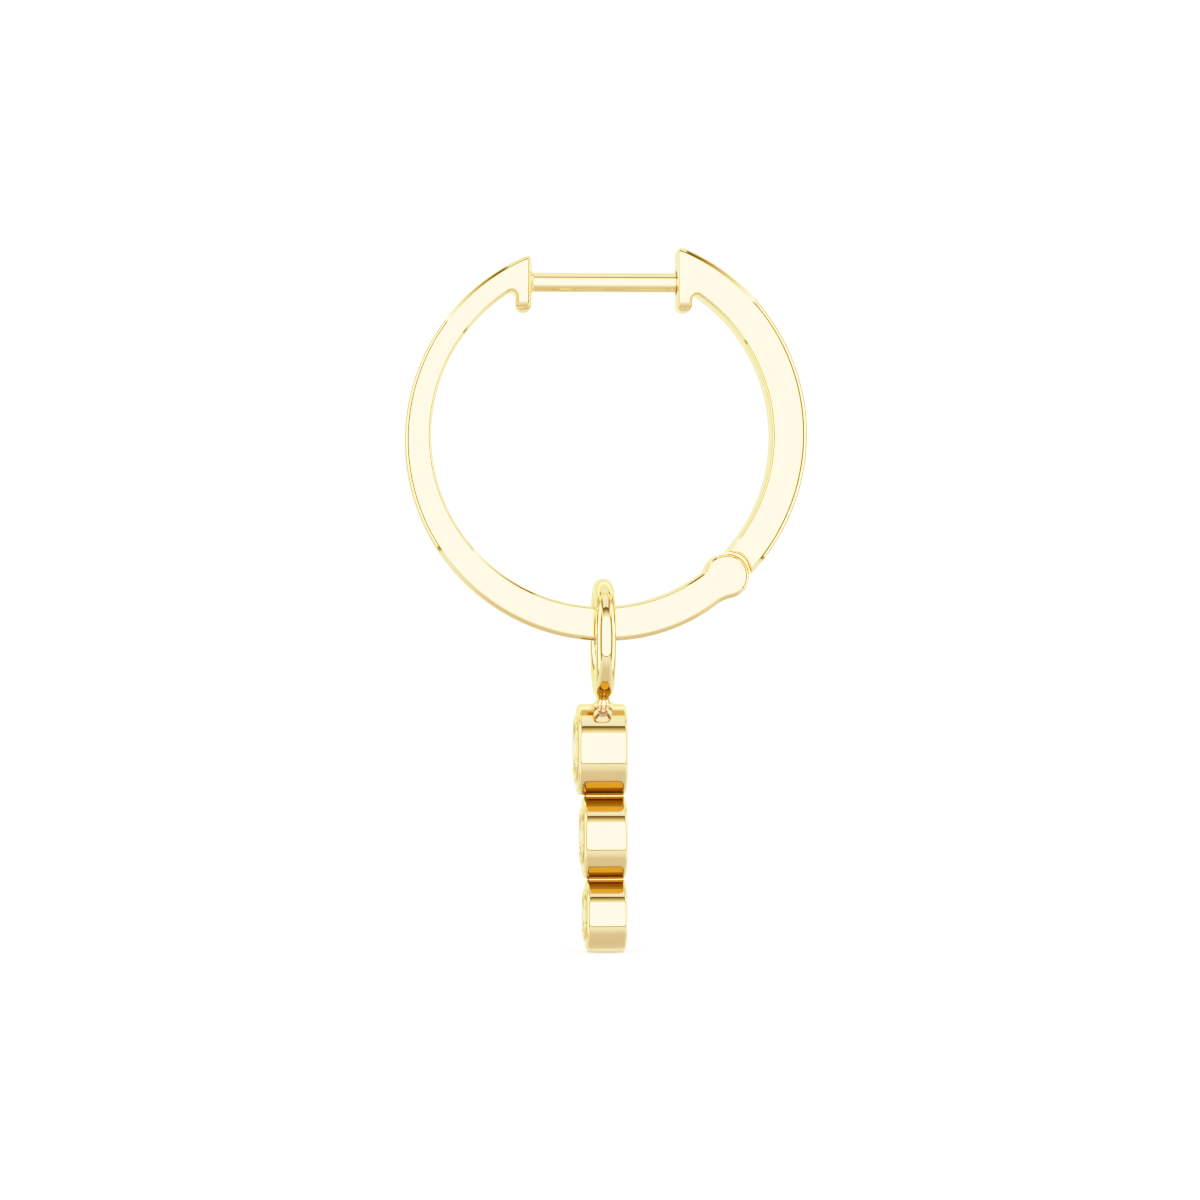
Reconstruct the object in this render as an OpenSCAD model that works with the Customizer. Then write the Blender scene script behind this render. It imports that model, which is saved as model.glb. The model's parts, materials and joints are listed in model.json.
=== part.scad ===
// Hinged hoop earring with a fixed charm of three bezel-set stones, in millimetres.
// X runs along the hoop's axis, -Y is the front, where the stones face, and +Z is up.
// The origin is on the axis of the ear post, above the middle of the hoop.

/* [Hoop] */
// Inner diameter of both arms
hoop_inner_d = 12.66; // [12:0.02:14]
// Width of the band, side to side
band_w = 1.8; // [1.5:0.05:2]
// Mean thickness of the front arm
front_arm_t = 1.14; // [0.95:0.01:1.3]
// How much thicker than that the front arm is at its lower end
front_arm_swell = 0.23; // [0.1:0.01:0.3]
// Mean thickness of the back arm
back_arm_t = 1.18; // [0.95:0.01:1.3]
// How much thicker than that the back arm is at its thickest place
back_arm_swell = 0.18; // [0:0.01:0.25]
// Angle of that place above the level of the hoop's middle
back_swell_angle = 24; // [0:1:40]
// Radius on the band's inner edges
inner_edge_r = 0.12; // [0.04:0.01:0.16]
// Radius on the band's outer edges
outer_edge_r = 0.17; // [0.06:0.01:0.24]

/* [Ear post and catch] */
// Diameter of the ear post
post_d = 0.75; // [0.7:0.01:0.8]
// Gap for the ear lobe, between the two end faces
ear_gap = 5.42; // [5:0.02:5.8]
// Place of that gap's middle behind the hoop's middle
ear_gap_y = 0.1; // [-0.2:0.01:0.2]
// Drop from the post's axis to the lower end of each end plate
plate_drop = 1.15; // [1:0.05:1.5]
// Thickness of the front end plate
front_plate_t = 0.58; // [0.45:0.01:0.65]
// Thickness of the back end plate
back_plate_t = 0.55; // [0.45:0.01:0.65]
// How far the plates' sides lie inside the band's sides
plate_inset = 0.02; // [0.01:0.01:0.05]
// Radius on the plates' lower corners, seen from the front
plate_corner_r = 0.54; // [0.2:0.02:0.6]
// Radius on the plates' lower ends, seen from the side
plate_end_r = 0.22; // [0.1:0.01:0.22]
// Height of the post's axis above the hoop's middle
post_rise = 5.73; // [5.5:0.01:6]
// Radius of the solder fillet round the post's root
post_fillet_r = 0.13; // [0.05:0.01:0.2]
// Radial clearance of the post in the catch hole
catch_clearance = 0.1; // [0.08:0.01:0.12]
// Metal left behind the catch hole, in the back end plate
catch_wall_t = 0.13; // [0.08:0.01:0.2]
// Space beyond the post's tip in the catch hole
catch_end_space = 0.12; // [0.06:0.01:0.2]

/* [Hinge] */
// Angle of the hinge below the level of the hoop's middle
hinge_angle = 48.3; // [45:0.1:52]
// Distance of the hinge axis outside the hoop's inner circle
hinge_depth = 0.66; // [0.6:0.01:0.72]
// Diameter of the hinge's rounded ears
knuckle_d = 1.68; // [1.6:0.02:1.76]
// Gap between the ears and the hollow end of the back arm
knuckle_gap = 0.15; // [0.1:0.01:0.2]
// Width of the back arm's tongue
tongue_w = 0.7; // [0.5:0.05:0.8]
// Gap on each side of the tongue
tongue_gap = 0.04; // [0.03:0.01:0.06]
// Gap round the tongue's end
tongue_end_gap = 0.06; // [0.04:0.01:0.12]
// Diameter of the hinge pin
pin_d = 0.5; // [0.4:0.02:0.6]
// Radial clearance of the pin in the tongue
pin_clearance = 0.03; // [0.02:0.005:0.06]
// Radial gap of the pin in the ears
pin_seat_gap = 0.01; // [0.01:0.005:0.02]
// How far the pin's ends lie below the ears' faces
pin_inset = 0.05; // [0.02:0.01:0.1]

/* [Charm ring] */
// Thickness of the ring's wire
ring_wire_d = 0.76; // [0.66:0.02:0.86]
// Inner diameter of the ring
ring_inner_d = 3; // [2.8:0.02:3.4]
// Gap at rest between the ring and the band's edges that carry it
hang_gap = 0.03; // [0.02:0.01:0.06]
// Place of the ring behind the hoop's middle
ring_y = 0.08; // [0:0.01:0.16]
// Height of the solder foot between the ring and the top bezel
foot_h = 0.16; // [0.08:0.01:0.24]
// Radius of the solder's hollow sides, seen along the ring
foot_side_r = 0.2; // [0.16:0.01:0.24]
// Radius of the solder's hollow ends, seen across the ring
foot_end_r = 0.25; // [0.15:0.01:0.35]

/* [Bezels] */
// Outer diameter of the top bezel
top_bezel_d = 3.42; // [3.2:0.02:3.6]
// Depth of the top bezel, back to lip
top_bezel_depth = 1.93; // [1.8:0.01:2.1]
// Outer diameter of the middle bezel
middle_bezel_d = 3.12; // [2.9:0.02:3.3]
// Depth of the middle bezel
middle_bezel_depth = 1.71; // [1.6:0.01:1.9]
// Outer diameter of the bottom bezel
bottom_bezel_d = 2.71; // [2.5:0.01:2.9]
// Depth of the bottom bezel
bottom_bezel_depth = 1.6; // [1.5:0.01:1.8]
// Place of the bezels' flush backs behind the hoop's middle
charm_back_y = 0.92; // [0.8:0.01:1]
// How far neighbouring bezels run into each other
bezel_overlap = 0.01; // [0.01:0.01:0.05]
// Width of the solder seam between two bezels
seam_w = 0.75; // [0.4:0.05:0.9]
// Height of the solder seam between two bezels
seam_h = 0.16; // [0.1:0.01:0.25]
// How far the solder seam stays inside the bezels' faces
seam_inset = 0.12; // [0.1:0.01:0.2]
// Radius on the bezels' front edges
bezel_front_r = 0.18; // [0.05:0.01:0.2]
// Radius on the bezels' back edges
bezel_back_r = 0.14; // [0.05:0.01:0.2]
// Height of the lip above the bezel's face
lip_h = 0.085; // [0.06:0.005:0.12]
// Radius of the lip's round crest
lip_r = 0.08; // [0.06:0.005:0.1]
// Diameter of the light hole in the bezels' backs, as a share of the stone
light_hole_share = 0.6; // [0.4:0.05:0.7]

/* [Stones] */
// Diameter of the top stone
top_stone_d = 2.4; // [2.2:0.05:2.6]
// Diameter of the middle stone
middle_stone_d = 2; // [1.8:0.05:2.2]
// Diameter of the bottom stone
bottom_stone_d = 1.8; // [1.6:0.05:1.9]
// Width of the table, as a share of the stone
table_share = 0.57; // [0.53:0.01:0.62]
// Slope of the crown
crown_angle = 34.5; // [32:0.5:36]
// Slope of the pavilion
pavilion_angle = 40.8; // [39:0.2:42]
// Thickness of the girdle
girdle_t = 0.05; // [0.03:0.01:0.08]
// Depth of the table below the lip
table_recess = 0.04; // [0:0.01:0.1]
// Gap all round the stone
stone_gap = 0.03; // [0.02:0.005:0.05]

/* [Hidden] */
gold = "#E8C878";
clear_stone = "#E9EEF4";
$fn = 96;
// Length by which a cut runs past the surface that it goes through
past = 0.5;
// Depth by which soldered pieces run into each other
sunk = 0.1;

// A point of the hoop's plane is [y, z]
hoop_centre = [0, -post_rise];
inner_r = hoop_inner_d / 2;
// Each arm's outer circle is moved towards the place where that arm is thickest
hinge_dir = [cos(hinge_angle), -sin(hinge_angle)];
front_outer_centre = hoop_centre + front_arm_swell * hinge_dir;
front_outer_r = inner_r + front_arm_t;
back_outer_centre = hoop_centre + back_arm_swell * [cos(back_swell_angle), sin(back_swell_angle)];
back_outer_r = inner_r + back_arm_t;
hinge = hoop_centre + (inner_r + hinge_depth) * hinge_dir;
knuckle_r = knuckle_d / 2;
front_face = ear_gap_y - ear_gap / 2;
back_face = ear_gap_y + ear_gap / 2;
// A length that reaches past the whole hoop from its middle
reach = 2 * inner_r;
// Depth of the catch hole, and how much of it the post fills
catch_depth = back_plate_t - catch_wall_t;
post_engagement = catch_depth - catch_end_space;

// The ring hangs from the band's two rounded inner edges
edge_centre = [band_w / 2 - inner_edge_r, hoop_centre.y - inner_r - inner_edge_r];
ring_inner_r = ring_inner_d / 2;
ring_mean_r = (ring_inner_d + ring_wire_d) / 2;
hang_r = ring_inner_r - inner_edge_r - hang_gap;
ring_z = edge_centre.y - sqrt(pow(hang_r, 2) - pow(edge_centre.x, 2));
ring_bottom = ring_z - ring_mean_r - ring_wire_d / 2;

top_z = ring_bottom - foot_h - top_bezel_d / 2;
middle_z = top_z - (top_bezel_d + middle_bezel_d) / 2 + bezel_overlap;
bottom_z = middle_z - (middle_bezel_d + bottom_bezel_d) / 2 + bezel_overlap;

// Height at which the end plate under an end face is well inside its arm
function plate_top(face, arm_t) = hoop_centre.y + sqrt(pow(inner_r, 2) - pow(face, 2)) + arm_t / 3;

// Heights in a bezel, from its back
function crown_h(stone_d) = (1 - table_share) * stone_d / 2 * tan(crown_angle);
function girdle_z(depth, stone_d) = depth - table_recess - crown_h(stone_d);

// Sets what is drawn in the x-y plane into the hoop's plane at a point, with its height along X
module across_hoop(at) {
    translate([0, at.x, at.y]) rotate([90, 0, 90]) children();
}

// Sets what stands up along z at a height in the charm, with its base on the flush backs
module facing_front(z) {
    translate([0, charm_back_y, z]) rotate([90, 0, 0]) children();
}

// What a round edge of radius r leaves out of a square corner at the origin
module corner_waste(r) {
    difference() {
        translate([-r, -r]) square(2 * r);
        translate([-r, -r]) circle(r);
        translate([-2 * r, -r]) square([r, 2 * r]);
        translate([-r, -2 * r]) square([2 * r, r]);
    }
}

// A disc across the hoop with rounded edges
module round_edged_disc(at, r, edge) {
    across_hoop(at) rotate_extrude() difference() {
        translate([0, -band_w / 2]) square([r, band_w]);
        translate([r, band_w / 2]) corner_waste(edge);
        translate([r, -band_w / 2]) mirror([0, 1]) corner_waste(edge);
    }
}

// The cut that leaves the hoop's round inside, with rounded edges
module round_edged_bore() {
    across_hoop(hoop_centre) rotate_extrude() {
        translate([0, -band_w / 2 - past]) square([inner_r, band_w + 2 * past]);
        for (side = [0, 1]) mirror([0, side]) difference() {
            translate([0, band_w / 2 - inner_edge_r])
                square([inner_r + inner_edge_r, inner_edge_r + past]);
            translate([inner_r + inner_edge_r, band_w / 2 - inner_edge_r]) circle(inner_edge_r);
        }
    }
}

// The part of a band, from the hoop's inner circle to an outer one, that lies inside an outline
module arm(outer_at, outer_r, outline) {
    intersection() {
        difference() {
            round_edged_disc(outer_at, outer_r, outer_edge_r);
            round_edged_bore();
        }
        across_hoop([0, 0]) linear_extrude(band_w + past, center = true) polygon(outline);
    }
}

// The outline of an end plate of a given width, with rounded lower corners
module plate_outline(w, corner_r, top) {
    translate([-w / 2, corner_r - plate_drop]) square([w, plate_drop - corner_r + top]);
    translate([corner_r - w / 2, -plate_drop]) square([w - 2 * corner_r, plate_drop]);
    for (side = [-1, 1])
        translate([side * (w / 2 - corner_r), corner_r - plate_drop]) circle(corner_r);
}

// An end plate centred at y, rounded as seen from the front and from the side
module end_plate(y, t, top) {
    intersection() {
        translate([0, y, 0]) rotate([90, 0, 0])
            linear_extrude(t, center = true)
                plate_outline(band_w - 2 * plate_inset, plate_corner_r, top);
        across_hoop([y, 0])
            linear_extrude(band_w, center = true) plate_outline(t, plate_end_r, top);
    }
}

// The ear post, with a rounded tip and a solder fillet at its root
module post() {
    tip_r = post_d / 4;
    length = ear_gap + post_engagement;
    translate([0, front_face, 0]) rotate([-90, 0, 0]) rotate_extrude() {
        translate([0, -sunk]) square([post_d / 2, length - tip_r + sunk]);
        translate([0, length - tip_r]) square([post_d / 2 - tip_r, tip_r]);
        translate([post_d / 2 - tip_r, length - tip_r]) intersection() {
            circle(tip_r);
            square(tip_r);
        }
        difference() {
            square([post_d / 2 + post_fillet_r, post_fillet_r]);
            translate([post_d / 2 + post_fillet_r, post_fillet_r]) circle(post_fillet_r);
        }
    }
}

// The front arm with its end plate, ear post and hinge ears, soldered into one
module hoop_front() {
    outline = [
        [front_face, reach],
        [front_face, hoop_centre.y],
        hoop_centre,
        hoop_centre + reach * hinge_dir,
        [reach, -2 * reach],
        [-reach, -2 * reach],
        [-reach, reach]
    ];
    color(gold) difference() {
        union() {
            arm(front_outer_centre, front_outer_r, outline);
            end_plate(front_face - front_plate_t / 2, front_plate_t,
                      plate_top(front_face, front_arm_t));
            post();
            round_edged_disc(hinge, knuckle_r, inner_edge_r);
        }
        across_hoop(hinge) cylinder(h = tongue_w + 2 * tongue_gap,
                                    r = knuckle_r + tongue_end_gap, center = true);
        across_hoop(hinge) cylinder(h = band_w + past, r = pin_d / 2 + pin_seat_gap, center = true);
    }
}

// The back arm with its end plate, catch hole and hinge tongue
module hoop_back() {
    outline = [
        [back_face, reach],
        [back_face, hoop_centre.y],
        hoop_centre,
        hoop_centre + reach * hinge_dir,
        [reach, hoop_centre.y],
        [reach, reach]
    ];
    color(gold) difference() {
        union() {
            arm(back_outer_centre, back_outer_r, outline);
            end_plate(back_face + back_plate_t / 2, back_plate_t,
                      plate_top(back_face, back_arm_t));
            across_hoop(hinge) cylinder(h = tongue_w, r = knuckle_r, center = true);
        }
        for (side = [-1, 1])
            translate([side * (tongue_w + band_w) / 2, 0, 0]) across_hoop(hinge)
                cylinder(h = band_w, r = knuckle_r + knuckle_gap, center = true);
        across_hoop(hinge) cylinder(h = band_w, r = pin_d / 2 + pin_clearance, center = true);
        translate([0, back_face - past, 0]) rotate([-90, 0, 0])
            cylinder(h = past + catch_depth, r = post_d / 2 + catch_clearance);
    }
}

// The plain pin through the hinge
module hinge_pin() {
    color(gold) across_hoop(hinge)
        cylinder(h = band_w - 2 * pin_inset, r = pin_d / 2, center = true);
}

// The solder between the ring and the top bezel, hollow on its sides and its ends
module solder_foot() {
    side_y = sqrt(pow(ring_wire_d / 2 + foot_side_r, 2)
                  - pow(ring_wire_d / 2 + foot_h - foot_side_r, 2));
    touch = ring_wire_d / 2 / (ring_wire_d / 2 + foot_side_r);
    wire_z = ring_z - ring_mean_r;
    bezel_top = top_z + top_bezel_d / 2;
    ring_reach = ring_mean_r + ring_wire_d / 2 + foot_end_r;
    bezel_reach = top_bezel_d / 2 + foot_end_r;
    fall = (pow(ring_reach, 2) - pow(bezel_reach, 2) + pow(ring_z - top_z, 2)) / 2 / (ring_z - top_z);
    end_x = sqrt(pow(ring_reach, 2) - pow(fall, 2));
    intersection() {
        across_hoop([ring_y, 0]) linear_extrude(2 * end_x, center = true) difference() {
            polygon([
                [-side_y, bezel_top - sunk],
                [side_y, bezel_top - sunk],
                [side_y, bezel_top],
                [touch * side_y, wire_z + touch * (bezel_top + foot_side_r - wire_z)],
                [-touch * side_y, wire_z + touch * (bezel_top + foot_side_r - wire_z)],
                [-side_y, bezel_top]
            ]);
            for (side = [-1, 1])
                translate([side * side_y, bezel_top + foot_side_r]) circle(foot_side_r);
        }
        translate([0, ring_y, 0]) rotate([90, 0, 0])
            linear_extrude(2 * side_y, center = true) difference() {
                translate([-end_x, bezel_top - 2 * foot_end_r]) square([2 * end_x, 4 * foot_end_r]);
                for (side = [-1, 1])
                    translate([side * end_x, ring_z - fall]) circle(foot_end_r);
            }
    }
}

// A round bezel with a raised lip, a seat that follows its stone, and a light hole
module bezel(bezel_d, depth, stone_d) {
    r = bezel_d / 2;
    stone_r = stone_d / 2;
    mouth_r = stone_r - lip_r;
    hole_r = light_hole_share * stone_r;
    seat_r = stone_r + stone_gap;
    crown_gap = stone_gap / cos(crown_angle);
    pavilion_gap = stone_gap / cos(pavilion_angle);
    top = girdle_z(depth, stone_d);
    low = top - girdle_t;
    rotate_extrude() difference() {
        union() {
            difference() {
                square([r, depth - lip_h]);
                translate([r, depth - lip_h]) corner_waste(bezel_front_r);
                translate([r, 0]) mirror([0, 1]) corner_waste(bezel_back_r);
            }
            translate([stone_r, depth - lip_r]) circle(lip_r);
        }
        polygon([
            [0, -past],
            [hole_r, -past],
            [hole_r, low - (stone_r - hole_r) * tan(pavilion_angle) - pavilion_gap],
            [seat_r, low + stone_gap * tan(pavilion_angle) - pavilion_gap],
            [seat_r, top - stone_gap * tan(crown_angle) + crown_gap],
            [mouth_r, top + lip_r * tan(crown_angle) + crown_gap],
            [mouth_r, depth + past],
            [0, depth + past]
        ]);
    }
}

// The solder seam where two bezels touch, at a height z and for the shallower one's depth
module solder_seam(z, depth) {
    translate([-seam_w / 2, charm_back_y - depth + lip_h + seam_inset, z - seam_h / 2])
        cube([seam_w, depth - lip_h - 2 * seam_inset, seam_h]);
}

// The ring and the three bezels, soldered into one
module charm_setting() {
    color(gold) {
        translate([0, ring_y, ring_z]) rotate([90, 0, 0])
            rotate_extrude() translate([ring_mean_r, 0]) circle(ring_wire_d / 2);
        solder_foot();
        facing_front(top_z) bezel(top_bezel_d, top_bezel_depth, top_stone_d);
        facing_front(middle_z) bezel(middle_bezel_d, middle_bezel_depth, middle_stone_d);
        facing_front(bottom_z) bezel(bottom_bezel_d, bottom_bezel_depth, bottom_stone_d);
        solder_seam(top_z - top_bezel_d / 2, middle_bezel_depth);
        solder_seam(middle_z - middle_bezel_d / 2, bottom_bezel_depth);
    }
}

// Points evenly round a circle
function round_points(count, r, z, turn) =
    [for (i = [0:count - 1]) [r * cos(turn + i * 360 / count), r * sin(turn + i * 360 / count), z]];

// A round brilliant, its girdle's upper edge at height 0
module brilliant(stone_d) {
    r = stone_d / 2;
    table_r = table_share * r;
    half = 180 / 8;
    // Star facets reach half way from the table's edge to the girdle
    star_r = (table_r * cos(half) + r) / 2;
    // Lower girdle facets reach three quarters of the way to the culet
    lower_r = r / 4;
    points = concat(
        round_points(8, table_r, crown_h(stone_d), 0),
        round_points(8, star_r, (r - star_r * cos(half)) * tan(crown_angle), half),
        round_points(16, r, 0, 0),
        round_points(16, r, -girdle_t, 0),
        round_points(8, lower_r, -girdle_t - (r - lower_r * cos(half)) * tan(pavilion_angle), half),
        [[0, 0, -girdle_t - r * tan(pavilion_angle)]]
    );
    // First point of each ring
    star = 8;
    upper = 16;
    lower = 32;
    deep = 48;
    culet = 56;
    polyhedron(points, concat(
        [[for (i = [7:-1:0]) i]],
        [for (i = [0:7]) [i, (i + 1) % 8, star + i]],
        [for (i = [0:7]) [i, star + i, upper + 2 * i, star + (i + 7) % 8]],
        [for (i = [0:7]) [star + i, upper + 2 * i + 1, upper + 2 * i]],
        [for (i = [0:7]) [star + i, upper + (2 * i + 2) % 16, upper + 2 * i + 1]],
        [for (i = [0:15]) [upper + i, upper + (i + 1) % 16, lower + (i + 1) % 16, lower + i]],
        [for (i = [0:7]) [deep + i, lower + 2 * i, lower + 2 * i + 1]],
        [for (i = [0:7]) [deep + i, lower + 2 * i + 1, lower + (2 * i + 2) % 16]],
        [for (i = [0:7]) [culet, deep + (i + 7) % 8, lower + 2 * i, deep + i]]
    ));
}

// A stone in its seat
module set_stone(z, depth, stone_d) {
    color(clear_stone) facing_front(z) translate([0, 0, girdle_z(depth, stone_d)])
        brilliant(stone_d);
}

module stone_top() { set_stone(top_z, top_bezel_depth, top_stone_d); }
module stone_middle() { set_stone(middle_z, middle_bezel_depth, middle_stone_d); }
module stone_bottom() { set_stone(bottom_z, bottom_bezel_depth, bottom_stone_d); }

hoop_front();
hoop_back();
hinge_pin();
charm_setting();
stone_top();
stone_middle();
stone_bottom();
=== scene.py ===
"""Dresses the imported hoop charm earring: polished arms and charm, clear stones and a light tent.

Shapes are drawn in millimetres, in the part's frame: +X along the hoop's axis, -Y to the front,
where the stones face, +Z up, and the origin on the ear post's axis. Objects are in metres.
"""

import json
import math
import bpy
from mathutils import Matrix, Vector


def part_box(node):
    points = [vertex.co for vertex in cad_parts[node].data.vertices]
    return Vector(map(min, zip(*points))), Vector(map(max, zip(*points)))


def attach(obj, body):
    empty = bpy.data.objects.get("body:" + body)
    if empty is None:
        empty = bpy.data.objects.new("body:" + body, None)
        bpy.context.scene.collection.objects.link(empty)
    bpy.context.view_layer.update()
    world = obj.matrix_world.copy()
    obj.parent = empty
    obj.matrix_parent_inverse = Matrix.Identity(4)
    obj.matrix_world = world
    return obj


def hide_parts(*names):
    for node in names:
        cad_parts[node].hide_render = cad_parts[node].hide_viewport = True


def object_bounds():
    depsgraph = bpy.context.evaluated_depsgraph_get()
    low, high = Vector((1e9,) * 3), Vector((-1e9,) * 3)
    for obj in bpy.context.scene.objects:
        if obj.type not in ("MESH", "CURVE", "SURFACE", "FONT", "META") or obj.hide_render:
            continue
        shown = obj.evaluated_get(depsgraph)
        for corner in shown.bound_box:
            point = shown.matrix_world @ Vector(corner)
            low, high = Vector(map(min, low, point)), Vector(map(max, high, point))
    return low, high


bl_info = {
    "name": "Hoop Charm Earring",
    "version": (1, 0, 0),
    "blender": (4, 5, 0),
    "location": "View3D > Sidebar > Earring",
    "description": "Builds the metal, the stones and the light tent of a hoop charm earring",
    "category": "Object",
}

import bmesh
import bpy
from mathutils import Matrix, Vector

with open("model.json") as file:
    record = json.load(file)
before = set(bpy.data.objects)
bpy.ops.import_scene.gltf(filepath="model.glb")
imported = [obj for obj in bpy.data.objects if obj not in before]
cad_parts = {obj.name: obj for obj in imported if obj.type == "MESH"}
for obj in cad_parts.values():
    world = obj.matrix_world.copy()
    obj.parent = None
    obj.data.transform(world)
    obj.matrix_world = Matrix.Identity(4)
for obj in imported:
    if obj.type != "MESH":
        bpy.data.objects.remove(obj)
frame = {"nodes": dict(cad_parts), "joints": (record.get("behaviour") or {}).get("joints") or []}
cad_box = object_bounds()

MM = 0.001
# Furthest that a straight step may lie from the arc that it stands for, in mm
CHORD = 0.0007
# Points that are closer than this, in mm, are one point
TOUCH = 1e-4
# Thickness of a cut, in mm
CUT = 1e-5
# Faces that meet at more than this angle keep a sharp edge
SHARP = math.radians(35)
# Steps across the rounding of the arms' edges and of the tongue's edges
RIM_STEPS, TONGUE_STEPS = 8, 2
# Length of outline, in mm, that is straight beside a corner where two roundings meet: at the
# arms' tops, and at the inner and outer tips of the back arm's hollow end
TOP_CLEAR, TIP_IN_CLEAR, TIP_OUT_CLEAR = 0.36, 0.37, 0.49
# Where the tongue's root ends inside the back arm, below the hoop's middle
TONGUE_ROOT = math.radians(-30)
# The stones' cut: slopes of crown and pavilion, and the table as a share of the stone's width
CROWN, PAVILION, TABLE = math.radians(34.5), math.radians(40.8), 0.57
# Height of the girdle, depth of the table under the lip and gap round the stone, in mm
GIRDLE, TABLE_DEPTH, SEAT_GAP = 0.05, 0.04, 0.03
# Rounding of the light holes' rims, in mm
HOLE_RIM = 0.03
# Height of the ring's solder, where a paler reflection is painted, half its reach, and the height
# below which gold seen in gold is painted deep orange as a reflection shade, in mm
PALE_REFLECTION_Z, PALE_REFLECTION_REACH, PAINTED_SHADE_BELOW = -15.2, 0.45, -14.4
# Place of the camera in mm, and its turn to the front and downwards, from the photograph
CAMERA_PLACE = (158.15, -9.79, -11.39)
CAMERA_TURN, CAMERA_TILT = math.radians(3.53), math.radians(0.16)
# Half the width of the light tent, in metres
TENT = 0.5


def mm_box(node):
    """Lowest and highest corner of a CAD node, in mm."""
    low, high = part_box(node)
    return low / MM, high / MM


HINGE = next(joint for joint in frame["joints"] if joint["name"] == "arm_hinge")["pos_m"]


# ---- Sizes and colours that a user would change


def length(name, description, mm):
    """A size held in metres, with its default in millimetres."""
    return bpy.props.FloatProperty(
        name=name, description=description, default=mm * MM, min=0, unit="LENGTH", precision=5
    )


def angle(name, description, degrees):
    """An angle with its default in degrees."""
    return bpy.props.FloatProperty(
        name=name, description=description, default=math.radians(degrees), unit="ROTATION"
    )


def share(name, description, value):
    """A plain number from 0 to 1."""
    return bpy.props.FloatProperty(
        name=name, description=description, default=value, min=0, max=1, subtype="FACTOR"
    )


def linear(hex_colour):
    """An sRGB hex colour as linear red, green and blue."""
    parts = [int(hex_colour[i : i + 2], 16) / 255 for i in (1, 3, 5)]
    return [c / 12.92 if c <= 0.04045 else ((c + 0.055) / 1.055) ** 2.4 for c in parts]


def colour(name, description, hex_colour):
    """A colour, given as sRGB hex."""
    return bpy.props.FloatVectorProperty(
        name=name, description=description, default=linear(hex_colour), subtype="COLOR", size=3
    )


class HoopSizes(bpy.types.PropertyGroup):
    """Sizes of the two arms, their end plates, the post and the hinge."""

    inner_d: length("Inner diameter", "Inner diameter of both arms", 12.66)
    band_w: length("Band width", "Width of the band, side to side", 1.8)
    centre_drop: length("Centre drop", "Drop from the post's axis to the hoop's middle", 5.73)
    front_t: length("Front arm", "Mean thickness of the front arm", 1.14)
    front_swell: length("Front swell", "Extra thickness of the front arm at the hinge", 0.23)
    back_t: length("Back arm", "Mean thickness of the back arm", 1.18)
    back_swell: length("Back swell", "Extra thickness of the back arm where it is thickest", 0.18)
    back_swell_at: angle("Back swell at", "Height of that place above the hoop's middle", 24)
    inner_edge: length("Inner edges", "Radius on the band's inner edges", 0.18)
    front_edge: length("Front outer edges", "Radius on the front arm's outer edges", 0.26)
    back_edge: length("Back outer edges", "Radius on the back arm's outer edges", 0.33)
    front_end_edge: length("Front end edges", "Radius on the front end face's upright edges", 0.25)
    back_end_edge: length("Back end edges", "Radius on the back end face's upright edges", 0.12)
    front_face: length("Front end face", "Distance of the front end face before the origin", 2.61)
    back_face: length("Back end face", "Distance of the back end face behind the origin", 2.81)
    top_corner: length("Top corners", "Rounding of the arms' top corners, seen from the side", 0.3)
    plate_drop: length("Plate drop", "Drop from the post's axis to the plates' lower ends", 1.15)
    front_plate_t: length("Front plate", "Thickness of the front end plate", 0.58)
    back_plate_t: length("Back plate", "Thickness of the back end plate", 0.55)
    plate_corner: length("Plate corners", "Radius on the plates' lower corners", 0.54)
    plate_end: length("Plate ends", "Radius on the plates' lower ends, from the side", 0.26)
    notch: length("Notch", "Radius of the hollow between a plate and its arm", 0.17)
    post_d: length("Post", "Diameter of the ear post", 0.75)
    post_fillet: length("Post fillet", "Radius of the solder round the post's root", 0.13)
    post_reach: length("Post reach", "How far the post enters the catch", 0.3)
    catch_d: length("Catch hole", "Diameter of the catch hole", 0.95)
    catch_depth: length("Catch depth", "Depth of the catch hole", 0.42)
    knuckle_d: length("Knuckle", "Diameter of the hinge's rounded ears", 1.68)
    knuckle_gap: length("Knuckle gap", "Gap between the ears and the back arm's hollow end", 0.09)
    hollow_edge: length("Hollow edges", "Radius on the edges of the back arm's hollow end", 0.13)
    ear_fillet: length("Ear fillets", "Radius of the inner hollows between ears and band", 0.35)
    ear_under: length("Ear undersides", "Radius of the outer hollows between ears and band", 1.2)
    taper_from: angle("Taper from", "Place where the front arm starts to thin to the hinge", -82)
    taper_r: length("Taper", "Radius of the front arm's outside from there to the hinge", 6.7)
    tongue_w: length("Tongue", "Width of the back arm's tongue", 0.7)
    tongue_edge: length("Tongue edges", "Radius on the tongue's edges", 0.04)
    tongue_gap: length("Tongue gap", "Gap on each side of the tongue", 0.04)
    tongue_end_gap: length("Tongue end gap", "Gap round the tongue's end", 0.06)
    pin_hole_d: length("Pin hole", "Diameter of the pin's hole in the tongue", 0.56)


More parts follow.
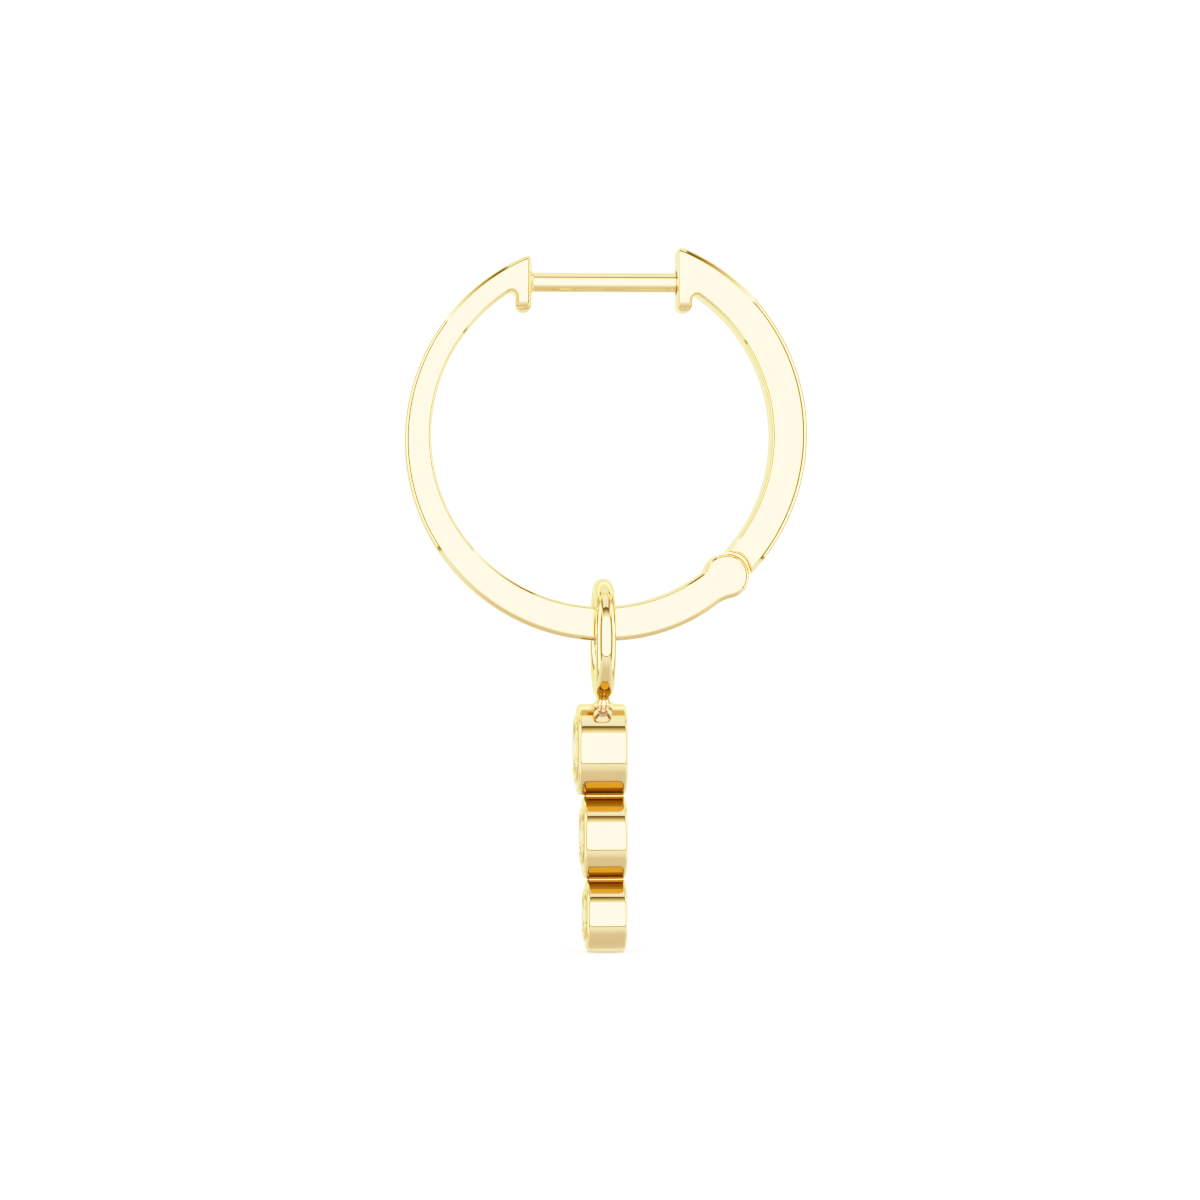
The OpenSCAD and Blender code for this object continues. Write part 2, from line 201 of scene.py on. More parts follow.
class CharmSizes(bpy.types.PropertyGroup):
    """Sizes of the ring, the bezels and the solder between them."""

    wire_d: length("Wire", "Thickness of the ring's wire", 0.76)
    ring_d: length("Ring", "Inner diameter of the ring", 3)
    hang_gap: length("Hang gap", "Gap at rest between the ring and the band's edges", 0.03)
    hang_edge: length("Hang edge", "Radius of the band's edges that carry the ring", 0.12)
    ring_y: length("Ring place", "Place of the ring behind the hoop's middle", 0.08)
    foot_side: length("Foot sides", "Radius of the solder's hollow sides", 0.2)
    foot_end: length("Foot ends", "Radius of the solder's hollow ends", 0.25)
    back_y: length("Flush backs", "Place of the bezels' backs behind the hoop's middle", 0.92)
    top_d: length("Top bezel", "Diameter of the top bezel", 3.42)
    top_depth: length("Top depth", "Depth of the top bezel", 1.93)
    middle_d: length("Middle bezel", "Diameter of the middle bezel", 3.12)
    middle_depth: length("Middle depth", "Depth of the middle bezel", 1.71)
    bottom_d: length("Bottom bezel", "Diameter of the bottom bezel", 2.71)
    bottom_depth: length("Bottom depth", "Depth of the bottom bezel", 1.6)
    front_edge: length("Front edges", "Radius on the bezels' front edges", 0.18)
    back_edge: length("Back edges", "Radius on the bezels' back edges", 0.14)
    lip_h: length("Lip", "Height of the lip above the bezel's face", 0.085)
    lip_r: length("Lip radius", "Radius of the lip's round crest", 0.08)
    lip_fillet: length("Lip fillet", "Radius of the hollow at the lip's foot", 0.03)
    light_hole: share("Light holes", "Diameter of the light holes, as a share of the stone", 0.6)
    seam_r: length("Seam", "Radius of the hollow ends of the solder between two bezels", 0.05)
    seam_inset: length("Seam inset", "How far that solder stays inside the bezels' faces", 0.12)


class Finish(bpy.types.PropertyGroup):
    """Colours of the metal, the stones and the floor."""

    gold: colour("Gold", "Colour of the polished gold", "#FBE1AA")
    # Painted reflection shade: deep orange that the charm's gold takes where it is seen in other
    # gold
    deep_gold: colour("Deep gold", "Colour of the gold where it is seen in other gold", "#A47D22")
    # Painted reflection: paler colour that the ring's solder takes where it is seen in gold
    solder: colour("Solder", "Colour of the ring's solder where it is seen in gold", "#D3C4C8")
    stone: colour("Stone", "Colour of the stones", "#FBFAFD")
    floor: colour("Floor", "Colour of the floor", "#F7F7F7")


def new_mesh(name, bm):
    """Turns a finished bmesh into a mesh."""
    mesh = bpy.data.meshes.new(name)
    bm.to_mesh(mesh)
    bm.free()
    return mesh


def new_object(name, data):
    """Adds an object to the scene."""
    thing = bpy.data.objects.new(name, data)
    bpy.context.collection.objects.link(thing)
    return thing


# ---- Small tools for shapes in the hoop's plane, where a point is (y, z)


def flat(y, z):
    """A point of the hoop's plane."""
    return Vector((y, z))


def ray(climb):
    """The direction at an angle above the hoop's rear."""
    return flat(math.cos(climb), math.sin(climb))


def crossing(a, radius_a, b, radius_b, side):
    """Where two circles cross, on the left (1) or right (-1) of the way from a to b."""
    way = b - a
    along = (radius_a**2 - radius_b**2 + way.length_squared) / 2 / way.length
    aside = math.sqrt(radius_a**2 - along**2)
    way.normalize()
    return a + way * along + side * aside * flat(-way.y, way.x)


def level(centre, radius, y, side):
    """The point of a circle at y, on its upper (1) or lower (-1) half."""
    return flat(y, centre.y + side * math.sqrt(radius**2 - (y - centre.x) ** 2))


def reach(centre, through, radius):
    """The point at a distance from a centre, on the way through another point."""
    return centre + (through - centre).normalized() * radius


def middle(edge):
    """The middle of an edge."""
    return (edge.verts[0].co + edge.verts[1].co) / 2


def trace(bm, x, start, stops, closed=True):
    """Draws an outline across the hoop at x and returns its face.

    A stop is (end, centre, turn, rim): an arc round the centre, to the left (1) or right (-1),
    or a straight line where the centre is None. Its edges are later rounded by the radius rim,
    or by radii that change evenly from the first to the second where rim is a pair.
    """
    weight = bm.edges.layers.float.get("bevel_weight_edge")
    weight = weight or bm.edges.layers.float.new("bevel_weight_edge")
    first = vert = bm.verts.new((x, *start))
    here = start
    drawn = []
    for end, centre, turn, rim in stops:
        known = set(bm.edges)
        walker = vert
        if centre is None:
            vert = bmesh.ops.extrude_vert_indiv(bm, verts=[vert])["verts"][0]
        else:
            radius = (here - centre).length
            swept = math.atan2(end.y - centre.y, end.x - centre.x)
            swept -= math.atan2(here.y - centre.y, here.x - centre.x)
            swept = swept * turn % math.tau * turn
            steps = max(2, math.ceil(abs(swept) / 2 / math.acos(1 - CHORD / radius)))
            made = bmesh.ops.spin(
                bm, geom=[vert], cent=(x, *centre), axis=(1, 0, 0), angle=swept, steps=steps
            )
            vert = next(g for g in made["geom_last"] if isinstance(g, bmesh.types.BMVert))
        vert.co = (x, *end)
        here = end
        first_rim, last_rim = rim if isinstance(rim, tuple) else (rim, rim)
        fresh = set(bm.edges) - known
        for step in range(len(fresh)):
            edge = next(e for e in walker.link_edges if e in fresh and e not in drawn)
            edge[weight] = first_rim + (last_rim - first_rim) * (step + 0.5) / len(fresh)
            drawn.append(edge)
            walker = edge.other_vert(walker)
    if not closed:
        return drawn
    bmesh.ops.weld_verts(bm, targetmap={vert: first})
    loop = [edge for edge in bm.edges if not edge.link_faces]
    return bmesh.ops.contextual_create(bm, geom=loop)["faces"][0]


def clear_corner(bm, corner, setback):
    """Straightens an outline's arcs close to a corner, where the rounding takes their steps up."""
    x = next(iter(bm.verts)).co.x
    close = [v for v in bm.verts if CUT < (v.co - Vector((x, *corner))).length < setback]
    bmesh.ops.dissolve_verts(bm, verts=close)
    return max(bm.faces, key=lambda f: f.calc_area())


def push(bm, face, vector):
    """Extrudes a face by a vector and returns its new end. A lone face stays as the other end."""
    lone = all(len(edge.link_faces) == 1 for edge in face.edges)
    moved = bmesh.ops.extrude_face_region(bm, geom=[face])["geom"]
    if not lone:
        bmesh.ops.delete(bm, geom=[face], context="FACES_ONLY")
    bmesh.ops.translate(
        bm, vec=vector, verts=[g for g in moved if isinstance(g, bmesh.types.BMVert)]
    )
    return next(g for g in moved if isinstance(g, bmesh.types.BMFace))


def nearest(verts, point):
    """The vertex nearest to a point."""
    return min(verts, key=lambda v: (v.co - Vector(point)).length_squared)


def cut_arc(face, start, end, centre, axis, turn):
    """Splits a face along an arc from one of its corners to another, and returns both parts."""
    a, b = nearest(face.verts, start), nearest(face.verts, end)
    centre = Vector(centre)
    spoke, last = a.co - centre, b.co - centre
    swept = math.atan2(spoke.cross(last).dot(Vector(axis)), spoke.dot(last))
    swept = swept * turn % math.tau * turn
    steps = max(4, math.ceil(abs(swept) / 2 / math.acos(1 - CHORD / spoke.length)))
    points = [
        centre + Matrix.Rotation(swept * step / steps, 3, axis) @ spoke
        for step in range(1, steps)
    ]
    other, _ = bmesh.utils.face_split(face, a, b, coords=points)
    return face, other


def rounded(bm, segments):
    """A copy of the mesh with its weighted edges rounded, each by its own radius."""
    weight = bm.edges.layers.float["bevel_weight_edge"]
    width = max(edge[weight] for edge in bm.edges)
    for edge in bm.edges:
        edge[weight] = edge[weight] / width
    mesh = new_mesh("rounding", bm)
    thing = new_object("rounding", mesh)
    bevel = thing.modifiers.new("Rims", "BEVEL")
    bevel.limit_method = "WEIGHT"
    bevel.width = width
    bevel.segments = segments
    bevel.use_clamp_overlap = False
    result = bmesh.new()
    result.from_object(thing, bpy.context.evaluated_depsgraph_get())
    bpy.data.objects.remove(thing)
    bpy.data.meshes.remove(mesh)
    return result


def both_sides(bm):
    """Closes a half model by mirroring it in the hoop's plane."""
    inner = [f for f in bm.faces if all(abs(v.co.x) < TOUCH for v in f.verts)]
    bmesh.ops.delete(bm, geom=inner, context="FACES")
    bmesh.ops.mirror(bm, geom=bm.faces[:] + bm.edges[:] + bm.verts[:], merge_dist=TOUCH, axis="X")


def take_in(bm, other):
    """Moves another mesh into this one."""
    spare = new_mesh("spare", other)
    bm.from_mesh(spare)
    bpy.data.meshes.remove(spare)


def turned(bm, edges, centre, steps):
    """Spins a profile right round an axis along Y."""
    verts = {v for e in edges for v in e.verts}
    bmesh.ops.spin(
        bm, geom=[*verts, *edges], cent=centre, axis=(0, 1, 0), angle=math.tau, steps=steps,
        use_merge=True,
    )


def piece(name, bm, material, body, node):
    """Makes the finished piece that stands for a CAD node."""
    bmesh.ops.remove_doubles(bm, verts=bm.verts, dist=TOUCH)
    bmesh.ops.recalc_face_normals(bm, faces=bm.faces)
    for face in bm.faces:
        face.smooth = True
    for edge in bm.edges:
        edge.smooth = len(edge.link_faces) != 2 or edge.calc_face_angle() < SHARP
    bmesh.ops.scale(bm, vec=(MM, MM, MM), verts=bm.verts)
    thing = new_object(name, new_mesh(name, bm))
    thing.data.materials.append(material)
    # Flat sides keep flat reflections, and the rounding beside them takes up the turn
    normals = thing.modifiers.new("Flat sides", "WEIGHTED_NORMAL")
    normals.mode = "FACE_AREA"
    normals.weight = 90
    normals.keep_sharp = True
    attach(thing, body)
    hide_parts(node)
    return thing


# ---- Materials


def add(tree, kind, links=(), **settings):
    """Adds a node with its settings and the links into it."""
    made = tree.nodes.new(kind)
    for name, value in settings.items():
        if name == "inputs":
            for socket, number in value.items():
                made.inputs[socket].default_value = number
        else:
            setattr(made, name, value)
    for source, socket in links:
        tree.links.new(source, made.inputs[socket])
    return made


def new_material(name):
    """An empty node material, its tree and its output."""
    material = bpy.data.materials.get(name) or bpy.data.materials.new(name)
    material.use_nodes = True
    material.node_tree.nodes.clear()
    return material, material.node_tree


def gold_material():
    """14 carat yellow gold, cast, soldered and polished on a felt wheel.

    The polish is close to a mirror. The wheel leaves a soft waviness about 0.6 mm across and
    faint hairlines, so that reflections are crisp but not perfectly even.
    """
    material, tree = new_material("polished_14ct_yellow_gold")
    finish = bpy.context.scene.earring_finish
    place = add(tree, "ShaderNodeTexCoord")
    # Waves left by the wheel, 0.6 mm apart
    waves = add(
        tree, "ShaderNodeTexNoise", [(place.outputs["Object"], "Vector")],
        inputs={"Scale": 1 / (0.6 * MM), "Detail": 2.0, "Roughness": 0.4},
    )
    # Hairlines 0.05 mm apart, drawn three times coarser than real ones so that they show
    stretch = add(
        tree, "ShaderNodeMapping", [(place.outputs["Object"], "Vector")],
        inputs={"Scale": (1.0, 0.15, 1.0)},
    )
    hairs = add(
        tree, "ShaderNodeTexNoise", [(stretch.outputs["Vector"], "Vector")],
        inputs={"Scale": 1 / (0.05 * MM), "Detail": 3.0, "Roughness": 0.6},
    )
    rough = add(
        tree, "ShaderNodeMapRange", [(hairs.outputs["Fac"], "Value")],
        inputs={"From Min": 0.35, "From Max": 0.75, "To Min": 0.015, "To Max": 0.06},
    )
    pale = [min(1.0, c * 1.03) for c in finish.gold]
    deep = [c * 0.97 for c in finish.gold]
    tint = add(
        tree, "ShaderNodeMix", [(waves.outputs["Fac"], 0)], data_type="RGBA",
        inputs={6: (*deep, 1), 7: (*pale, 1)},
    )
    bump = add(
        tree, "ShaderNodeBump", [(waves.outputs["Fac"], "Height")],
        inputs={"Strength": 0.25, "Distance": 0.002 * MM},
    )
    # Painted reflection shade: gold seen in gold, as in the seams between the bezels, is
    # painted deep orange in place of the darkening of repeated reflections, and round the
    # solder at the ring's lower end a paler reflection is painted. The hoop above it lies open
    # to the light
    path = add(tree, "ShaderNodeLightPath")
    height = add(tree, "ShaderNodeSeparateXYZ", [(place.outputs["Object"], "Vector")])
    low = add(
        tree, "ShaderNodeMath", [(height.outputs["Z"], 0)], operation="LESS_THAN",
        inputs={1: PAINTED_SHADE_BELOW * MM},
    )
    painted_shade_mask = add(
        tree, "ShaderNodeMath", [(path.outputs["Is Glossy Ray"], 0), (low.outputs[0], 1)],
        operation="MULTIPLY",
    )
    # Painted reflection: a paler colour round the ring's solder, where gold is seen in gold
    solder = add(
        tree, "ShaderNodeMath", [(height.outputs["Z"], 0)], operation="COMPARE",
        inputs={1: PALE_REFLECTION_Z * MM, 2: PALE_REFLECTION_REACH * MM},
    )
    seen = add(
        tree, "ShaderNodeMix", [(solder.outputs[0], 0)], data_type="RGBA",
        inputs={6: (*finish.deep_gold, 1), 7: (*finish.solder, 1)},
    )
    tone = add(
        tree, "ShaderNodeMix",
        [(painted_shade_mask.outputs[0], 0), (tint.outputs[2], 6), (seen.outputs[2], 7)],
        data_type="RGBA",
    )
    shader = add(
        tree, "ShaderNodeBsdfPrincipled",
        [
            (tone.outputs[2], "Base Color"),
            (rough.outputs["Result"], "Roughness"),
            (bump.outputs["Normal"], "Normal"),
        ],
        inputs={"Metallic": 1.0},
    )
    add(tree, "ShaderNodeOutputMaterial", [(shader.outputs["BSDF"], "Surface")])
    return material


def stone_material():
    """Diamond, cut and polished, with a bruted girdle.

    The facets are flat and clear, with the high index that gives their sparkle. The girdle is
    left frosted from the bruting wheel, so it shows as a fine white line under the lip.
    """
    material, tree = new_material("cut_diamond")
    finish = bpy.context.scene.earring_finish
    place = add(tree, "ShaderNodeTexCoord")
    split = add(tree, "ShaderNodeSeparateXYZ", [(place.outputs["Normal"], "Vector")])
    side = add(tree, "ShaderNodeMath", [(split.outputs["Y"], 0)], operation="ABSOLUTE")
    # The girdle's own facets are the only ones that stand square to the table
    girdle = add(
        tree, "ShaderNodeMapRange", [(side.outputs["Value"], "Value")],
        inputs={"From Min": 0.05, "From Max": 0.1, "To Min": 0.35, "To Max": 0.0},
    )
    # Grain of the bruted girdle, 0.03 mm
    grain = add(
        tree, "ShaderNodeTexNoise", [(place.outputs["Object"], "Vector")],
        inputs={"Scale": 1 / (0.03 * MM), "Detail": 2.0},
    )
    rough = add(
        tree, "ShaderNodeMath",
        [(girdle.outputs["Result"], 0), (grain.outputs["Fac"], 1)], operation="MULTIPLY",
    )
    shader = add(
        tree, "ShaderNodeBsdfPrincipled", [(rough.outputs["Value"], "Roughness")],
        inputs={
            "Base Color": (*finish.stone, 1), "IOR": 2.417, "Transmission Weight": 1.0,
        },
    )
    add(tree, "ShaderNodeOutputMaterial", [(shader.outputs["BSDF"], "Surface")])
    return material


def paper_material():
    """Matt white background paper: even and unglazed, with a faint tooth that stops any shine."""
    material, tree = new_material("matt_white_paper")
    finish = bpy.context.scene.earring_finish
    place = add(tree, "ShaderNodeTexCoord")
    # The paper's tooth, 0.4 mm
    tooth = add(
        tree, "ShaderNodeTexNoise", [(place.outputs["Object"], "Vector")],
        inputs={"Scale": 1 / (0.4 * MM), "Detail": 2.0},
    )
    bump = add(
        tree, "ShaderNodeBump", [(tooth.outputs["Fac"], "Height")],
        inputs={"Strength": 0.1, "Distance": 0.02 * MM},
    )
    shader = add(
        tree, "ShaderNodeBsdfPrincipled", [(bump.outputs["Normal"], "Normal")],
        inputs={
            "Base Color": (*finish.floor, 1), "Roughness": 0.9, "Specular IOR Level": 0.1,
        },
    )
    add(tree, "ShaderNodeOutputMaterial", [(shader.outputs["BSDF"], "Surface")])
    return material


# ---- The hoop


class Hoop:
    """The sizes of the hoop in mm, and the circles that its outlines are made of."""

    def __init__(self):
        sizes = bpy.context.scene.earring_hoop
        for name in HoopSizes.__annotations__:
            value = getattr(sizes, name)
            setattr(self, name, value if name in ("back_swell_at", "taper_from") else value / MM)
        self.half_w = self.band_w / 2
        self.inner_r = self.inner_d / 2
        self.centre = flat(0, -self.centre_drop)
        self.hinge = flat(HINGE[1] / MM, HINGE[2] / MM)
        lean = (self.hinge - self.centre).normalized()
        self.front_centre = self.centre + self.front_swell * lean
        self.front_r = self.inner_r + self.front_t
        self.taper_centre = self.front_centre + (self.front_r - self.taper_r) * ray(self.taper_from)
        self.back_centre = self.centre + self.back_swell * ray(self.back_swell_at)
        self.back_r = self.inner_r + self.back_t
        self.knuckle_r = self.knuckle_d / 2

    def plate_stops(self, face, thickness, outward, rim):
        """Stops down an end face, round the plate's lower end and up to the hoop's inside.

        outward is 1 for the back arm, whose plate thickens towards +Y, and -1 for the front arm.
        """
        far = face + outward * thickness
        low, end, inner = -self.plate_drop, self.plate_end, self.inner_edge
        notch = level(self.centre, self.inner_r - self.notch, far + outward * self.notch, 1)
        face_turn = flat(face + outward * end, low + end)
        far_turn = flat(far - outward * end, low + end)
        mean = (inner + rim) / 2
        return [
            (flat(face, low + end), None, 0, rim),
            (flat(face_turn.x, low), face_turn, outward, (rim, mean)),
            (flat(far_turn.x, low), None, 0, mean),
            (flat(far, low + end), far_turn, outward, (mean, inner)),
            (flat(far, notch.y), None, 0, inner),
            (reach(self.centre, notch, self.inner_r), notch, -outward, inner),
        ]


def narrow_plate(bm, hoop):
    """Rounds an end plate's lower corners as seen from the front, by drawing its sides in."""
    start, end = hoop.plate_corner - hoop.plate_drop, -hoop.plate_drop - 1e-3
    # Furthest that either plate reaches, short of the band's own lower part
    reach_y = hoop.back_face + 0.8
    cuts = 12

    def in_plate(place):
        return end < place.z < start + CUT and abs(place.y) < reach_y

    for cut in range(cuts):
        z = start - hoop.plate_corner * math.sin(math.pi / 2 * cut / cuts)
        if cut:
            faces = [f for f in bm.faces if in_plate(f.calc_center_median())]
        else:
            faces = bm.faces[:]
        edges = {e for f in faces for e in f.edges}
        verts = {v for e in edges for v in e.verts}
        bmesh.ops.bisect_plane(
            bm, geom=[*verts, *edges, *faces], dist=CUT, plane_co=(0, 0, z), plane_no=(0, 0, 1)
        )
    for vert in bm.verts:
        if in_plate(vert.co):
            drop = min(start - vert.co.z, hoop.plate_corner)
            drawn_in = hoop.plate_corner - math.sqrt(max(hoop.plate_corner**2 - drop**2, 0))
            vert.co.x *= 1 - drawn_in / hoop.half_w


def make_front_arm(hoop):
    """The front arm's mesh: band, end plate and the two ears of the hinge."""
    ear, under = hoop.ear_fillet, hoop.ear_under
    inner_fillet = crossing(
        hoop.centre, hoop.inner_r - ear, hoop.hinge, hoop.knuckle_r + ear, -1
    )
    outer_fillet = crossing(
        hoop.taper_centre, hoop.taper_r + under, hoop.hinge, hoop.knuckle_r + under, -1
    )
    slot_r = hoop.knuckle_r + hoop.tongue_end_gap
    slot_in = crossing(hoop.hinge, slot_r, inner_fillet, ear, 1)
    slot_out = crossing(hoop.hinge, slot_r, outer_fillet, under, -1)
    top = level(hoop.front_centre, hoop.front_r, -hoop.front_face, 1)
    outer, inner = hoop.front_edge, hoop.inner_edge
    bm = bmesh.new()
    side = trace(bm, hoop.half_w, top, [
        *hoop.plate_stops(-hoop.front_face, hoop.front_plate_t, -1, hoop.front_end_edge),
        (reach(hoop.centre, inner_fillet, hoop.inner_r), hoop.centre, 1, inner),
        (slot_in, inner_fillet, 1, inner),
        (reach(hoop.hinge, inner_fillet, hoop.knuckle_r), inner_fillet, 1, inner),
        (reach(hoop.hinge, outer_fillet, hoop.knuckle_r), hoop.hinge, -1, (inner, outer)),
        (slot_out, outer_fillet, 1, outer),
        (reach(hoop.taper_centre, outer_fillet, hoop.taper_r), outer_fillet, 1, outer),
        (hoop.front_centre + hoop.front_r * ray(hoop.taper_from), hoop.taper_centre, -1, outer),
        (top, hoop.front_centre, -1, outer),
    ])
    side = clear_corner(bm, top, TOP_CLEAR)
    ears_in = hoop.half_w - hoop.tongue_w / 2 - hoop.tongue_gap
    end = push(bm, side, (-ears_in, 0, 0))
    x = hoop.half_w - ears_in
    parts = cut_arc(end, (x, *slot_in), (x, *slot_out), (x, *hoop.hinge), (1, 0, 0), 1)
    push(bm, max(parts, key=lambda f: f.calc_area()), (-x, 0, 0))
    set_rims(bm, side, hoop, top)
    return bm


def set_rims(bm, side, hoop, top):
    """Leaves only a side's own edges and the arm's top corner to be rounded."""
    weight = bm.edges.layers.float["bevel_weight_edge"]
    own = set(side.edges)
    for edge in bm.edges:
        if edge not in own:
            at_top = (flat(*middle(edge).yz) - top).length < TOUCH
            edge[weight] = hoop.top_corner if at_top else 0


def make_back_arm(hoop):
    """The back arm's mesh: band, end plate and hollow end."""
    hollow_r = hoop.knuckle_r + hoop.knuckle_gap
    tip_in = crossing(hoop.hinge, hollow_r, hoop.centre, hoop.inner_r, -1)
    tip_out = crossing(hoop.hinge, hollow_r, hoop.back_centre, hoop.back_r, -1)
    top = level(hoop.back_centre, hoop.back_r, hoop.back_face, 1)
    bm = bmesh.new()
    side = trace(bm, hoop.half_w, top, [
        *hoop.plate_stops(hoop.back_face, hoop.back_plate_t, 1, hoop.back_end_edge),
        (tip_in, hoop.centre, -1, hoop.inner_edge),
        (tip_out, hoop.hinge, -1, hoop.hollow_edge),
        (top, hoop.back_centre, 1, hoop.back_edge),
    ])
    for corner, setback in (
        (top, TOP_CLEAR), (tip_in, TIP_IN_CLEAR), (tip_out, TIP_OUT_CLEAR)
    ):
        side = clear_corner(bm, corner, setback)
    push(bm, side, (-hoop.half_w, 0, 0))
    set_rims(bm, side, hoop, top)
    return bm


def make_tongue(hoop):
    """The back arm's tongue, with a root that runs back inside the arm."""
    # The root keeps just under the arm's own faces
    sunk = 0.01
    inner_r, outer_r = hoop.inner_r + sunk, hoop.back_r - sunk
    low_in = crossing(hoop.hinge, hoop.knuckle_r, hoop.centre, inner_r, -1)
    low_out = crossing(hoop.hinge, hoop.knuckle_r, hoop.back_centre, outer_r, -1)
    root = ray(TONGUE_ROOT)
    bm = bmesh.new()
    side = trace(bm, hoop.tongue_w / 2, low_in, [
        (low_out, hoop.hinge, 1, hoop.tongue_edge),
        (hoop.back_centre + outer_r * root, hoop.back_centre, 1, 0),
        (hoop.centre + inner_r * root, None, 0, 0),
        (low_in, hoop.centre, -1, 0),
    ])
    push(bm, side, (-hoop.tongue_w / 2, 0, 0))
    return bm


def cut_pin_hole(bm, hoop):
    """Sinks the pin's hole into the side of a half tongue."""
    x, radius = hoop.tongue_w / 2, hoop.pin_hole_d / 2
    face = max(
        (f for f in bm.faces if all(abs(v.co.x - x) < TOUCH for v in f.verts)),
        key=lambda f: f.calc_area(),
    )
    across = (hoop.hinge - hoop.centre).normalized()
    ends = []
    for side in (1, -1):
        aim = hoop.hinge + side * hoop.knuckle_r * across
        corner = nearest(face.verts, (x, *aim))
        ends.append((corner, (flat(*corner.co.yz) - hoop.hinge).normalized() * radius))
    (a, spoke), (b, last) = ends
    swept = spoke.angle_signed(last) % math.tau
    steps = 32
    points = [
        Vector((x, *(hoop.hinge + Matrix.Rotation(-swept * step / steps, 2) @ spoke)))
        for step in range(steps + 1)
    ]
    other, _ = bmesh.utils.face_split(face, a, b, coords=points)
    part = max((face, other), key=lambda f: f.calc_area())
    start, end = points[0], points[-1]
    parts = cut_arc(part, start, end, (x, *hoop.hinge), (1, 0, 0), 1)
    hole = min(parts, key=lambda f: f.calc_area())
    push(bm, hole, (-x, 0, 0))


def cut_catch(bm, hoop):
    """Sinks the catch hole's half into the back end face of a half model."""
    radius = hoop.catch_d / 2
    y = hoop.back_face
    face = next(
        f for f in bm.faces
        if all(abs(v.co.y - y) < TOUCH for v in f.verts)
        and f.calc_area() > radius**2 * math.pi / 2
    )
    for z in (radius, -radius):
        edge = next(
            e for e in face.edges
            if all(abs(v.co.x) < TOUCH for v in e.verts)
            and min(v.co.z for v in e.verts) < z < max(v.co.z for v in e.verts)
        )
        low, high = sorted(edge.verts, key=lambda v: v.co.z)
        bmesh.utils.edge_split(edge, low, (z - low.co.z) / (high.co.z - low.co.z))
    parts = cut_arc(face, (0, y, radius), (0, y, -radius), (0, y, 0), (0, 1, 0), 1)
    hole = min(parts, key=lambda f: f.calc_area())
    push(bm, hole, (0, hoop.catch_depth, 0))


def make_post(bm, hoop):
    """Adds the ear post, with the solder round its root and a rounded tip."""
    r, fillet = hoop.post_d / 2, hoop.post_fillet
    root = -hoop.front_face
    # The post starts inside the plate
    sunk = root - 0.05
    tip = hoop.back_face + hoop.post_reach
    round_r = r / 2
    edges = trace(bm, 0, flat(sunk, 0), [
        (flat(sunk, r + fillet), None, 0, 0),
        (flat(root, r + fillet), None, 0, 0),
        (flat(root + fillet, r), flat(root + fillet, r + fillet), 1, 0),
        (flat(tip - round_r, r), None, 0, 0),
        (flat(tip, r - round_r), flat(tip - round_r, r - round_r), -1, 0),
        (flat(tip, 0), None, 0, 0),
    ], closed=False)
    turned(bm, edges, (0, 0, 0), steps=72)


class EARRING_OT_front_arm(bpy.types.Operator):
    """Build the front arm with its end plate, the ear post and the ears of the hinge"""

    bl_idname = "earring.front_arm"
    bl_label = "Front Arm"

    def execute(self, context):
        hoop = Hoop()
        bm = rounded(make_front_arm(hoop), RIM_STEPS)
        narrow_plate(bm, hoop)
        both_sides(bm)
        make_post(bm, hoop)
        piece("front_arm", bm, gold_material(), "hoop", "hoop_front")
        return {"FINISHED"}


class EARRING_OT_back_arm(bpy.types.Operator):
    """Build the back arm with its end plate, the catch hole and the tongue of the hinge"""

    bl_idname = "earring.back_arm"
    bl_label = "Back Arm"

    def execute(self, context):
        hoop = Hoop()
        bm = rounded(make_back_arm(hoop), RIM_STEPS)
        cut_catch(bm, hoop)
        narrow_plate(bm, hoop)
        both_sides(bm)
        tongue = rounded(make_tongue(hoop), TONGUE_STEPS)
        cut_pin_hole(tongue, hoop)
        both_sides(tongue)
        take_in(bm, tongue)
        piece("back_arm", bm, gold_material(), "back_arm", "hoop_back")
        return {"FINISHED"}


class EARRING_OT_pin(bpy.types.Operator):
    """Give the hinge pin its polished gold"""

    bl_idname = "earring.pin"
    bl_label = "Hinge Pin"

    def execute(self, context):
        frame["nodes"]["hinge_pin"].data.materials[0] = gold_material()
        return {"FINISHED"}


# ---- The charm


class Charm:
    """The sizes of the charm in mm, and the places that follow from them."""

    def __init__(self):
        sizes = bpy.context.scene.earring_charm
        for name in CharmSizes.__annotations__:
            value = getattr(sizes, name)
            setattr(self, name, value if name == "light_hole" else value / MM)
        hoop = Hoop()
        self.wire_r = self.wire_d / 2
        self.ring_r = (self.ring_d + self.wire_d) / 2
        edge_x = hoop.half_w - self.hang_edge
        edge_z = hoop.centre.y - hoop.inner_r - self.hang_edge
        hang_r = self.ring_d / 2 - self.hang_edge - self.hang_gap
        self.ring_z = edge_z - math.sqrt(hang_r**2 - edge_x**2)
        stones = [mm_box("stone_" + name) for name in ("top", "middle", "bottom")]
        # Each bezel's height, radius and depth, and its stone's radius
        self.bezels = []
        for (low, high), (d, depth) in zip(stones, (
            (self.top_d, self.top_depth),
            (self.middle_d, self.middle_depth),
            (self.bottom_d, self.bottom_depth),
        )):
            stone_r = (high.x - low.x) / 2
            self.bezels.append(((high.z + low.z) / 2, d / 2, depth, stone_r))


def make_ring(bm, charm):
    """The round wire ring."""
    centre = (0, charm.ring_y, charm.ring_z)
    made = bmesh.ops.create_circle(
        bm, segments=48, radius=charm.wire_r,
        matrix=Matrix.Translation((charm.ring_r, charm.ring_y, charm.ring_z)),
    )
    edges = list({e for v in made["verts"] for e in v.link_edges})
    turned(bm, edges, centre, steps=128)


